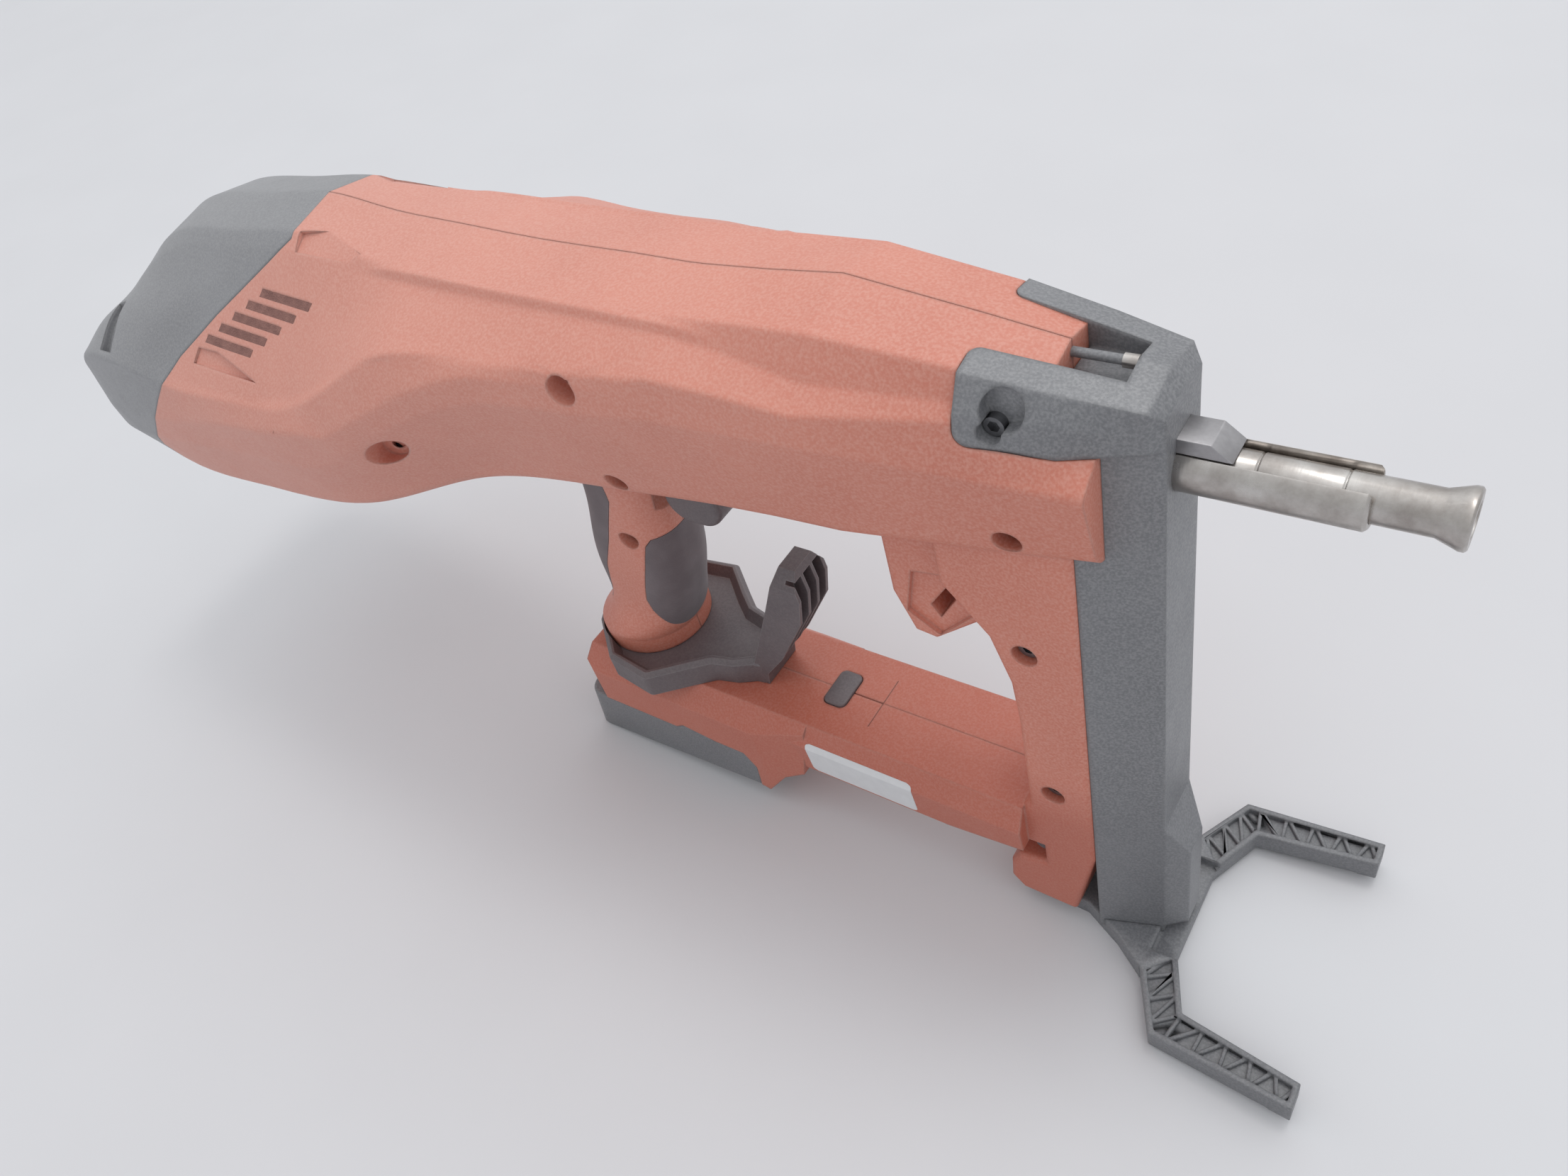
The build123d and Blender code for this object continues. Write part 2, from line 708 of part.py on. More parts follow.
def scaffold_hook():
    low = bar_top + slide_clearance
    floor = collar_bottom - slide_clearance
    plate = plan_prism(hook_outline(hook_plan), low, hook_rim_top)
    plate = fillet(plate.edges().filter_by(Axis.Z), hook_round)
    plate = chamfer(plate.faces().sort_by(Axis.Z)[-1].edges(), hook_bevel)
    dish = make_face(Polyline(*[(x, y, floor) for x, y in hook_outline(dish_plan)], close=True))
    plate -= extrude(dish, amount=hook_rim_top - floor + 1, taper=-dish_slope)
    plate -= rod_z(collar_radius + 1, floor, 0, collar_x)
    plate -= rod_z(neck_radius + running_clearance, low - 1, 0, collar_x)
    half = finger_half
    front = [(half, -150), (half, -84), (half - 4, -77), (4 - half, -77), (-half, -84), (-half, -150)]
    finger = hook_side(finger_side, half) & front_prism(front, collar_x, collar_x + 120)
    pitch = (2 * half - finger_wall) / finger_ribs
    for index in range(finger_ribs):
        middle = -half + finger_wall / 2 + pitch * (index + 0.5)
        finger -= hook_side(finger_groove_side, (pitch - finger_wall) / 2, middle)
    return plate + finger


# Trigger: a half-round finger piece hung by a stem from a wide head above the shell's window.
def trigger():
    shape = trigger_form(0, 0)
    sides = shape.faces().sort_by(Axis.Y)[0].edges() + shape.faces().sort_by(Axis.Y)[-1].edges()
    shape = fillet(sides.filter_by(lambda edge: edge.center().Z < trigger_top - 1), trigger_edge)
    front = behind(trigger_front)
    stem_back = front - trigger_stem
    shape += block(stem_back, front - 1, -trigger_half, trigger_half, trigger_top - 1, -26)
    return shape + block(stem_back, front - 1, -trigger_half - 2, trigger_half + 2, trigger_head_low, -24)


def trigger_switch():
    back, front, half, low, high = grip_room
    x0, x1 = behind(back), behind(front + 1)
    shape = block(x0, x1, -half, half, low + 2, high)
    return shape + block(x1, x1 + 3, -plunger_half, plunger_half, -54, -48)


def mode_button():
    x = behind(button_back)
    under = board_room[4] - slide_clearance
    half = button_width / 2
    reach = button_length / 2
    stem = block(x - reach, x + reach, -half, half, under, bar_top + button_proud)
    stem = fillet(stem.edges().filter_by(Axis.Z), button_round)
    return stem + block(x - reach - 2, x + reach + 2, -half - 1, half + 1, under - 2, under)


def control_board():
    back, front, half, low, high = board_room
    shape = block(behind(back - 2), behind(front + 2), -half + 2, half - 2, low + 6, low + 7.6)
    for d in (back - 6, front + 6):
        for y in (-half + 5, half - 5):
            shape += rod_z(2, low, low + 6, behind(d), y)
    return shape + block(behind(back - 20), behind(back - 40), -9, 9, low + 7.6, low + 10)


terminal_height = 5.5


# Skirt around the battery bay, with a rail on each side.
def foot_skirt():
    line = skirt_line + [(foot_back + skirt_slant, skirt_bottom)]
    shape = side_prism(outline(line), -foot_half, foot_half)
    rear = shape.faces().sort_by(Axis.X)[0].edges().filter_by(Axis.Y, reverse=True)
    shape = fillet(rear, skirt_round)
    half = foot_half - skirt_wall
    front = behind(foot_front + 1 + skirt_wall)
    shape -= block(behind(foot_back + 20), front, -half, half, -220, bay_ceiling)
    for sign in (-1, 1):
        y0, y1 = sign * (half - rail_depth), sign * (half + 1)
        shape += block(behind(foot_back - 12), front, y0, y1, *rail_span)
    return shape


def battery_terminals():
    low = bay_ceiling - terminal_height
    shape = block(behind(190), behind(165), -13, 13, low, bay_ceiling)
    for y in (-9, -3, 3, 9):
        shape += block(behind(202), behind(190), y - 0.5, y + 0.5, low + 0.5, bay_ceiling - 1)
    return shape


# Support foot: two cranked arms with ribbed troughs, a hub under the column and a tongue under the claw.
fork_arm = [(fork_reach, fork_tip_inner), (15.8, 36.4), (7, 17)]
fork_arm += [(-2, 27), (8.8, 47.4), (fork_reach, fork_tip_outer)]
fork_bays = (5, 3)
fork_hub = [(7, 17.5), (-2, 27.5), (-13, 19.6), (-26, 13), (-49, 13)]


def ahead(points, sign=1):
    return [(column_front + d, sign * y) for d, y in points]


def fork_strip(start, end, z0, z1):
    dx, dy = end[0] - start[0], end[1] - start[1]
    length = hypot(dx, dy)
    nx, ny = -dy / length * fork_rib / 2, dx / length * fork_rib / 2
    plan = [(start[0] + nx, start[1] + ny), (end[0] + nx, end[1] + ny)]
    plan += [(end[0] - nx, end[1] - ny), (start[0] - nx, start[1] - ny)]
    return plan_prism(plan, z0, z1)


def along(start, end, share):
    return (start[0] + (end[0] - start[0]) * share, start[1] + (end[1] - start[1]) * share)


def fork_ribs(sign, z0, z1):
    tip_in, elbow_in, root_in, root_out, elbow_out, tip_out = ahead(fork_arm, sign)
    shape = Part()
    inner = [(tip_in, elbow_in), (elbow_in, root_in)]
    outer = [(tip_out, elbow_out), (elbow_out, root_out)]
    for count, near, far in zip(fork_bays, inner, outer):
        for index in range(count):
            a = along(*near, index / count)
            b = along(*far, (index + 0.5) / count)
            c = along(*near, (index + 1) / count)
            shape += fork_strip(a, b, z0, z1)
            shape += fork_strip(b, c, z0, z1)
    return shape


def support_fork():
    top = -column_drop
    low = top - fork_height
    hub = [(column_front + 7, 0)] + ahead(fork_hub) + ahead(list(reversed(fork_hub)), -1)
    shape = plan_prism(hub[1:], low, top)
    for sign in (-1, 1):
        arm = plan_prism(ahead(fork_arm, sign), low, top)
        floor = low + fork_floor
        face = make_face(Polyline(*[(x, y, floor) for x, y in ahead(fork_arm, sign)], close=True))
        trough = extrude(offset(face, amount=-fork_rim, kind=Kind.INTERSECTION), amount=20, dir=(0, 0, 1))
        shape += arm - trough + (fork_ribs(sign, floor, top - 0.8) & arm)
        inner, outer = along(*fork_arm[:2], 0.15), along(*fork_arm[:3:-1], 0.15)
        lug = ahead([fork_arm[0], inner, outer, fork_arm[-1]], sign)
        shape += plan_prism(lug, top - fork_keel, floor)
    sole = top - fork_keel
    keel = [(column_front + 6, top), (column_front + 6, sole + 2), (column_front + 2, sole)]
    keel += [(behind(18), sole), (behind(24), low)]
    shape += side_prism(keel, -14, 14)
    taper = [(behind(26), low - 1), (behind(60), low - 1), (behind(60), top - 5), (behind(49), top - 5)]
    shape -= side_prism(taper, -40, 40)
    shape -= block(column_front - 1, column_front + 10, -20, 20, foot_z, foot_z + 100)
    return shape - post_form(0, foot_z, 0)


# Drive line inside the shells.
def piston_barrel():
    shape = rod_x(barrel_radius, behind(barrel_back), barrel_front)
    shape -= rod_x(piston_head_radius + running_clearance, behind(barrel_back) - 1, barrel_front - 4)
    return shape - rod_x(piston_radius + 0.4, barrel_front - 10, barrel_front + 1)


def front_bumper():
    outer = piston_head_radius + running_clearance
    return ring_x(outer, piston_radius + 0.6, barrel_front - 12, barrel_front - 4)


piston_tip = guide_back - 1.0
piston_head_front = behind(91)
piston_head_length = 14.0


def piston():
    shape = rod_x(piston_radius, piston_head_front - 1, piston_tip)
    return shape + rod_x(piston_head_radius, piston_head_front - piston_head_length, piston_head_front)


def spring_carrier():
    inner = spindle_radius + running_clearance
    return ring_x(carrier_radius, inner, behind(nut_back), behind(nut_back - nut_length))


def toothed_disc(teeth, width, x0, z, turn):
    pitch_radius = gear_module * teeth / 2
    root, tip = pitch_radius - 1.25 * gear_module, pitch_radius + 0.9 * gear_module
    step = 360 / teeth
    tooth = [(root, -tooth_root_share), (tip, -tooth_tip_share)]
    tooth += [(tip, tooth_tip_share), (root, tooth_root_share)]
    points = []
    for index in range(teeth):
        middle = turn + index * step
        for radius, share in tooth:
            angle = radians(middle + share * step)
            points.append((radius * cos(angle), z + radius * sin(angle)))
    return front_prism(points, x0, x0 + width)


def lead_spindle():
    shape = rod_x(spindle_radius, behind(gear_back + gear_width), behind(165))
    return shape + toothed_disc(gear_teeth, gear_width, behind(gear_back + gear_width), 0, 90)


def spindle_bearing():
    inner = spindle_radius + running_clearance
    return ring_x(bearing_radius, inner, behind(bearing_back + bearing_width), behind(bearing_back))


fan_blades = 9


def motor_pinion():
    shape = rod_x(shaft_radius, behind(motor_front + 20), behind(fan_back - 1), 0, motor_z)
    turn = 90 + 180 / pinion_teeth
    rear = behind(gear_back + gear_width + 1)
    return shape + toothed_disc(pinion_teeth, gear_width + 2, rear, motor_z, turn)


def cooling_fan():
    x0, x1 = behind(fan_back + fan_width), behind(fan_back)
    shape = rod_x(6, x0, x1, 0, motor_z) + rod_x(fan_radius, x0, x0 + 1.2, 0, motor_z)
    for index in range(fan_blades):
        blade = block(x0, x1, 4, fan_radius, -0.6, 0.6)
        shape += Pos(0, 0, motor_z) * Rot(index * 360 / fan_blades, 0, 0) * blade
    return shape - rod_x(shaft_radius, x0 - 1, x1 + 1, 0, motor_z)


def motor_can():
    x0, x1 = behind(motor_front + motor_length), behind(motor_front)
    shape = rod_x(motor_radius, x0, x1, 0, motor_z)
    return shape - rod_x(shaft_radius + running_clearance, behind(motor_front + 21), x1 + 1, 0, motor_z)


common = common_right()
write(shell_holes(common, True), "housing_right")
write(shell_holes(mirror(common, about=Plane.XZ), False), "housing_left")
write(rear_cap(), "rear_cap")
write(nose_bracket(), "nose_bracket")
write(nose_sleeve(), "nose_sleeve")
write(lock_block(), "guide_lock_block")
write(fastener_guide(), "fastener_guide")
write(bracket_rod(), "bracket_rod")
write(rod_ferrule(), "rod_ferrule")
write(Compound(children=bracket_screws()), "bracket_screws")
write(Compound(children=housing_screws()), "housing_screws")
write(rod_y(claw_pin_radius, -claw_pin_half, claw_pin_half, behind(claw_pin_back), claw_pin_z), "claw_pin")
write(grip_pad(rear_pad_line), "grip_rubber_rear")
write(grip_pad(front_pad_line), "grip_rubber_front")
write(scaffold_hook(), "scaffold_hook")
write(trigger(), "trigger")
write(trigger_switch(), "trigger_switch")
write(mode_button(), "mode_button")
write(control_board(), "control_board")
write(foot_skirt(), "foot_skirt")
write(battery_terminals(), "battery_terminals")
write(support_fork(), "support_fork")
write(piston_barrel(), "piston_barrel")
write(front_bumper(), "front_bumper")
write(piston(), "piston")
write(spring_carrier(), "spring_carrier")
write(lead_spindle(), "lead_spindle")
write(spindle_bearing(), "spindle_bearing")
write(motor_pinion(), "motor_pinion")
write(cooling_fan(), "cooling_fan")
write(motor_can(), "motor_can")
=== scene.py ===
import json
import math

import bmesh
import bpy
from mathutils import Matrix, Vector
from mathutils.bvhtree import BVHTree

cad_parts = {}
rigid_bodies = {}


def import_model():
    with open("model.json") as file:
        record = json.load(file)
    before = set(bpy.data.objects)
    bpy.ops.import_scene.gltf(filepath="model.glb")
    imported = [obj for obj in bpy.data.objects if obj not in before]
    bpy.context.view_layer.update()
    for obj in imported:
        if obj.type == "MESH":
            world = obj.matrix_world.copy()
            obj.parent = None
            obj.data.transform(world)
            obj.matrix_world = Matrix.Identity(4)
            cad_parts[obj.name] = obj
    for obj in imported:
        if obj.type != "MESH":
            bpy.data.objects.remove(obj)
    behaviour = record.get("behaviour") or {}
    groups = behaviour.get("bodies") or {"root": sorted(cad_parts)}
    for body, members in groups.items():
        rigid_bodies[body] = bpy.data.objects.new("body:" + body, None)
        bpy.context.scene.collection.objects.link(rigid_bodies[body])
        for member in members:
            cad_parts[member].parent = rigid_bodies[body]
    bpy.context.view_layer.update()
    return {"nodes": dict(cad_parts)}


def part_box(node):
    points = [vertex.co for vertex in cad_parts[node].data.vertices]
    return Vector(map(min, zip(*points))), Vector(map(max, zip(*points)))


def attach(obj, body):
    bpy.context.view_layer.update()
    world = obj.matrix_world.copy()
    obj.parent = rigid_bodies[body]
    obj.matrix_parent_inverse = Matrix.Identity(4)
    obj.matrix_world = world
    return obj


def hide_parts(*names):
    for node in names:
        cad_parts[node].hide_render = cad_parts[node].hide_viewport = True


# start from an empty scene
for leftOver in list(bpy.data.objects):
    bpy.data.objects.remove(leftOver)

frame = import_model()
nodes = frame["nodes"]
mm = 0.001
print("frame loaded:", len(nodes), "nodes")


def linear(hexCode):
    # sRGB hex to the linear colour that the sockets take
    parts = [int(hexCode[i:i + 2], 16) / 255 for i in (1, 3, 5)]
    return [p / 12.92 if p <= 0.04045 else ((p + 0.055) / 1.055) ** 2.4 for p in parts] + [1.0]


def perMetre(sizeMm):
    # pattern scale for a detail of this many millimetres
    return 1000.0 / sizeMm


def addNode(tree, kind, inputs=None, ramp=(), **settings):
    # inputs hold sockets to link or values to set, ramp holds the colour stops of a colour ramp
    node = tree.nodes.new(kind)
    for key, value in settings.items():
        setattr(node, key, value)
    for key, value in (inputs or {}).items():
        if isinstance(value, bpy.types.NodeSocket):
            tree.links.new(value, node.inputs[key])
        else:
            node.inputs[key].default_value = value
    for index, (position, hexCode) in enumerate(ramp):
        node.color_ramp.elements[index].position = position
        node.color_ramp.elements[index].color = linear(hexCode)
    return node


def newMaterial(name):
    material = bpy.data.materials.new(name)
    material.use_nodes = True
    tree = material.node_tree
    tree.nodes.clear()
    shader = addNode(tree, "ShaderNodeBsdfPrincipled")
    addNode(tree, "ShaderNodeOutputMaterial", {"Surface": shader.outputs[0]})
    place = addNode(tree, "ShaderNodeTexCoord").outputs["Object"]
    return material, tree, shader, place


# camera as in the photograph, worked out from the tool's own edges
cameraPlace = {
    "position": (0.01226, -0.200, 0.18482),
    "right": (0.8150254, 0.5350175, -0.2224632),
    "down": (0.2615679, -0.6823169, -0.6826609),
    "forward": (-0.5170259, 0.4981967, -0.6960490),
    "focalPixels": 1659.526,
    "imageWidth": 2212,
    "sensorMm": 36.0,
    "clipStartM": 0.01,
}


def makeCamera(place):
    data = bpy.data.cameras.new("photoCamera")
    data.sensor_fit = "HORIZONTAL"
    data.sensor_width = place["sensorMm"]
    data.lens = place["focalPixels"] / place["imageWidth"] * place["sensorMm"]
    data.clip_start = place["clipStartM"]
    camera = bpy.data.objects.new("photoCamera", data)
    columns = [Vector(place["right"]), -Vector(place["down"]), -Vector(place["forward"])]
    turn = Matrix([[c[row] for c in columns] for row in range(3)])
    camera.matrix_world = Matrix.Translation(place["position"]) @ turn.to_4x4()
    bpy.context.scene.collection.objects.link(camera)
    bpy.context.scene.camera = camera


makeCamera(cameraPlace)
print("camera placed")


# what all moulded polyamide here shares: where tone, flecks, wear and gloss set in, the direction and the
# stretch in which the paler film of dust and painted sheen thickens, and the heights between which
# painted shade darkens the lower parts
polyamideSkin = {
    "toneFrom": 0.36, "toneTo": 0.64, "fleckFrom": 0.38, "fleckTo": 0.66,
    "dustAndSheenTowards": (-0.75, 0.0, 1.0), "dustAndSheenFromMm": 40.0, "dustAndSheenToMm": 330.0,
    "paintedShadeFromMm": -120.0, "paintedShadeToMm": -145.0,
    "scuffMm": 7.0, "wearFrom": 0.99, "wearTo": 0.80, "bevelSamples": 4,
    "glossFrom": 0.25, "glossTo": 0.75, "shineBy": 0.05, "dullBy": 0.06, "ior": 1.53,
}


# moulded glass-filled polyamide: a dull, slightly pebbled skin from the eroded mould, tone drifting a
# little over the length and paler where edges have been rubbed, a paler film towards the upper rear that
# is partly dust and partly painted sheen, and painted shade low down; the pebbles are drawn coarser than
# the real ones, to show from where the camera stands
def mouldedPolyamide(name, look, skin):
    material, tree, shader, place = newMaterial(name)
    drift = addNode(tree, "ShaderNodeTexNoise", {
        "Vector": place, "Scale": perMetre(look["driftMm"]), "Detail": 3.0, "Roughness": 0.6})
    tone = addNode(
        tree, "ShaderNodeValToRGB", {"Fac": drift.outputs["Fac"]},
        ramp=((skin["toneFrom"], look["dark"]), (skin["toneTo"], look["light"])))
    speck = addNode(tree, "ShaderNodeTexNoise", {
        "Vector": place, "Scale": perMetre(look["speckMm"]), "Detail": 2.0})
    fleck = addNode(tree, "ShaderNodeMapRange", {
        "Value": speck.outputs["Fac"], "From Min": skin["fleckFrom"], "From Max": skin["fleckTo"],
        "To Min": 0.0, "To Max": look["speckShare"]})
    # dust and painted sheen: a paler film that thickens towards the top and rear, partly dust, partly
    # painted sheen on the upper faces
    upRear = addNode(tree, "ShaderNodeVectorMath", {
        0: place, 1: skin["dustAndSheenTowards"]}, operation="DOT_PRODUCT")
    film = addNode(tree, "ShaderNodeMapRange", {
        "Value": upRear.outputs["Value"],
        "From Min": skin["dustAndSheenFromMm"] * mm, "From Max": skin["dustAndSheenToMm"] * mm,
        "To Min": 0.0, "To Max": look["dustAndSheenShare"]})
    # painted shade: the lower parts, which the body above shades, darken towards the bottom between these
    # heights
    height = addNode(tree, "ShaderNodeSeparateXYZ", {"Vector": place})
    low = addNode(tree, "ShaderNodeMapRange", {
        "Value": height.outputs["Z"],
        "From Min": skin["paintedShadeFromMm"] * mm, "From Max": skin["paintedShadeToMm"] * mm,
        "To Min": 0.0, "To Max": look["paintedShadeShare"]})
    rounded = addNode(
        tree, "ShaderNodeBevel", {"Radius": look["wearMm"] * mm}, samples=skin["bevelSamples"])
    flat = addNode(tree, "ShaderNodeNewGeometry")
    turned = addNode(tree, "ShaderNodeVectorMath", {
        0: rounded.outputs["Normal"], 1: flat.outputs["Normal"]}, operation="DOT_PRODUCT")
    scuff = addNode(tree, "ShaderNodeTexNoise", {
        "Vector": place, "Scale": perMetre(skin["scuffMm"]), "Detail": 4.0, "Roughness": 0.7})
    edge = addNode(tree, "ShaderNodeMapRange", {
        "Value": turned.outputs["Value"], "From Min": skin["wearFrom"], "From Max": skin["wearTo"],
        "To Min": 0.0, "To Max": look["wearShare"]})
    patchy = addNode(tree, "ShaderNodeMath", {
        0: edge.outputs["Result"], 1: scuff.outputs["Fac"]}, operation="MULTIPLY")
    colour = tone.outputs["Color"]
    layers = (
        ("speckHex", fleck.outputs["Result"]), ("dustAndSheenHex", film.outputs["Result"]),
        ("paintedShadeHex", low.outputs["Result"]), ("wearHex", patchy.outputs["Value"]))
    for key, share in layers:
        layer = addNode(tree, "ShaderNodeMix", {
            "Factor": share, "A": colour, "B": linear(look[key])}, data_type="RGBA")
        colour = layer.outputs["Result"]
    gloss = addNode(tree, "ShaderNodeMapRange", {
        "Value": scuff.outputs["Fac"], "From Min": skin["glossFrom"], "From Max": skin["glossTo"],
        "To Min": look["roughness"] - skin["shineBy"], "To Max": look["roughness"] + skin["dullBy"]})
    grain = addNode(tree, "ShaderNodeTexNoise", {
        "Vector": place, "Scale": perMetre(look["grainMm"]), "Detail": 2.0, "Roughness": 0.55})
    bump = addNode(tree, "ShaderNodeBump", {
        "Height": grain.outputs["Fac"], "Strength": look["grainStrength"],
        "Distance": look["grainDepthMm"] * mm, "Normal": rounded.outputs["Normal"]})
    tree.links.new(colour, shader.inputs["Base Color"])
    tree.links.new(gloss.outputs["Result"], shader.inputs["Roughness"])
    tree.links.new(bump.outputs["Normal"], shader.inputs["Normal"])
    shader.inputs["IOR"].default_value = skin["ior"]
    shader.inputs["Specular IOR Level"].default_value = look["specular"]
    return material


# in each look the deeper hex and share are painted shade on the lower parts; the dust hex and share are
# partly dust, partly painted sheen towards the upper rear
redShell = {
    "dark": "#c6735e", "light": "#cf7d68", "driftMm": 70.0,
    "speckHex": "#deaa9b", "speckShare": 0.36, "speckMm": 0.8,
    "wearHex": "#e8bbad", "wearShare": 0.5, "wearMm": 1.5,
    "dustAndSheenHex": "#dfb4a8", "dustAndSheenShare": 0.36, "paintedShadeHex": "#a04c38", "paintedShadeShare": 0.5,
    "grainMm": 0.55, "grainStrength": 0.35, "grainDepthMm": 0.12, "roughness": 0.5, "specular": 0.6,
}
darkShell = {
    "dark": "#636468", "light": "#6d6e72", "driftMm": 55.0,
    "speckHex": "#98989a", "speckShare": 0.42, "speckMm": 0.7,
    "wearHex": "#a9a9ab", "wearShare": 0.5, "wearMm": 1.8,
    "dustAndSheenHex": "#a6a5a7", "dustAndSheenShare": 0.35, "paintedShadeHex": "#4c4d52", "paintedShadeShare": 0.2,
    "grainMm": 0.5, "grainStrength": 0.4, "grainDepthMm": 0.14, "roughness": 0.42, "specular": 0.85,
}
hookPlastic = {
    "dark": "#554c4f", "light": "#615759", "driftMm": 30.0,
    "speckHex": "#7d7476", "speckShare": 0.25, "speckMm": 0.8,
    "wearHex": "#b0a9aa", "wearShare": 0.9, "wearMm": 0.7,
    "dustAndSheenHex": "#8f8687", "dustAndSheenShare": 0.25, "paintedShadeHex": "#4a4245", "paintedShadeShare": 0.1,
    "grainMm": 0.5, "grainStrength": 0.35, "grainDepthMm": 0.12, "roughness": 0.5, "specular": 0.7,
}


# moulded thermoplastic rubber: no sharp highlights, a faint warm cast and a stippled skin,
# the stipple drawn coarser than the real one so that it shows
def softRubber(name, look):
    material, tree, shader, place = newMaterial(name)
    cloud = addNode(tree, "ShaderNodeTexNoise", {
        "Vector": place, "Scale": perMetre(look["cloudMm"]), "Detail": 4.0, "Roughness": 0.6})
    tone = addNode(
        tree, "ShaderNodeValToRGB", {"Fac": cloud.outputs["Fac"]},
        ramp=((look["toneFrom"], look["dark"]), (look["toneTo"], look["light"])))
    stipple = addNode(tree, "ShaderNodeTexVoronoi", {
        "Vector": place, "Scale": perMetre(look["stippleMm"])})
    bump = addNode(tree, "ShaderNodeBump", {
        "Height": stipple.outputs["Distance"], "Strength": look["stippleStrength"],
        "Distance": look["stippleDepthMm"] * mm})
    tree.links.new(tone.outputs["Color"], shader.inputs["Base Color"])
    tree.links.new(bump.outputs["Normal"], shader.inputs["Normal"])
    shader.inputs["Roughness"].default_value = look["roughness"]
    shader.inputs["IOR"].default_value = look["ior"]
    shader.inputs["Sheen Weight"].default_value = look["sheen"]
    return material


gripRubber = {
    "dark": "#62585b", "light": "#6f6568", "toneFrom": 0.35, "toneTo": 0.68, "cloudMm": 12.0,
    "stippleMm": 0.7, "stippleStrength": 0.3, "stippleDepthMm": 0.15,
    "roughness": 0.72, "ior": 1.5, "sheen": 0.15,
}


# turned tool steel: rings left by the lathe around the nose axis, drawn coarser than the real ones
# so that they show, on bright metal with brownish handling marks
def turnedSteel(name, look):
    material, tree, shader, place = newMaterial(name)
    axes = addNode(tree, "ShaderNodeSeparateXYZ", {"Vector": place})
    rings = addNode(tree, "ShaderNodeTexNoise", {
        "W": axes.outputs["X"], "Scale": perMetre(look["ringMm"]), "Detail": 2.0}, noise_dimensions="1D")
    stain = addNode(tree, "ShaderNodeTexNoise", {
        "Vector": place, "Scale": perMetre(look["stainMm"]), "Detail": 5.0, "Roughness": 0.65})
    tone = addNode(
        tree, "ShaderNodeValToRGB", {"Fac": stain.outputs["Fac"]},
        ramp=((look["toneFrom"], look["dark"]), (look["toneTo"], look["light"])))
    gloss = addNode(tree, "ShaderNodeMapRange", {
        "Value": stain.outputs["Fac"], "From Min": look["glossFrom"], "From Max": look["glossTo"],
        "To Min": look["roughness"] + look["dullBy"], "To Max": look["roughness"] - look["shineBy"]})
    bump = addNode(tree, "ShaderNodeBump", {
        "Height": rings.outputs["Fac"], "Strength": look["ringStrength"],
        "Distance": look["ringDepthMm"] * mm})
    tree.links.new(tone.outputs["Color"], shader.inputs["Base Color"])
    tree.links.new(gloss.outputs["Result"], shader.inputs["Roughness"])
    tree.links.new(bump.outputs["Normal"], shader.inputs["Normal"])
    shader.inputs["Metallic"].default_value = 1.0
    return material


noseSteel = {
    "dark": "#a39c97", "light": "#c8c4c0", "toneFrom": 0.32, "toneTo": 0.66, "stainMm": 9.0,
    "ringMm": 0.5, "ringStrength": 0.25, "ringDepthMm": 0.05,
    "roughness": 0.3, "glossFrom": 0.3, "glossTo": 0.7, "dullBy": 0.07, "shineBy": 0.05,
}
# zinc-plated screws: greyer and duller, with hardly a ring
screwSteel = {
    "dark": "#77777a", "light": "#929295", "toneFrom": 0.32, "toneTo": 0.66, "stainMm": 3.0,
    "ringMm": 0.6, "ringStrength": 0.15, "ringDepthMm": 0.05,
    "roughness": 0.38, "glossFrom": 0.3, "glossTo": 0.7, "dullBy": 0.07, "shineBy": 0.05,
}


# zinc pressure casting, tumbled: grey, satin, softly mottled
def castZinc(name, look):
    material, tree, shader, place = newMaterial(name)
    mottle = addNode(tree, "ShaderNodeTexNoise", {
        "Vector": place, "Scale": perMetre(look["mottleMm"]), "Detail": 4.0, "Roughness": 0.6})
    tone = addNode(
        tree, "ShaderNodeValToRGB", {"Fac": mottle.outputs["Fac"]},
        ramp=((0.0, look["dark"]), (1.0, look["light"])))
    bump = addNode(tree, "ShaderNodeBump", {
        "Height": mottle.outputs["Fac"], "Strength": look["mottleStrength"],
        "Distance": look["mottleDepthMm"] * mm})
    tree.links.new(tone.outputs["Color"], shader.inputs["Base Color"])
    tree.links.new(bump.outputs["Normal"], shader.inputs["Normal"])
    shader.inputs["Metallic"].default_value = 1.0
    shader.inputs["Roughness"].default_value = look["roughness"]
    return material


lockZinc = {
    "dark": "#9a989a", "light": "#b4b2b4", "roughness": 0.45,
    "mottleMm": 1.6, "mottleStrength": 0.2, "mottleDepthMm": 0.1,
}

redMaterial = mouldedPolyamide("redPolyamide", redShell, polyamideSkin)
darkMaterial = mouldedPolyamide("darkPolyamide", darkShell, polyamideSkin)
hookMaterial = mouldedPolyamide("hookPolyamide", hookPlastic, polyamideSkin)
rubberMaterial = softRubber("thermoplasticRubber", gripRubber)
steelMaterial = turnedSteel("turnedSteel", noseSteel)
screwMaterial = turnedSteel("zincPlatedSteel", screwSteel)
zincMaterial = castZinc("castZinc", lockZinc)

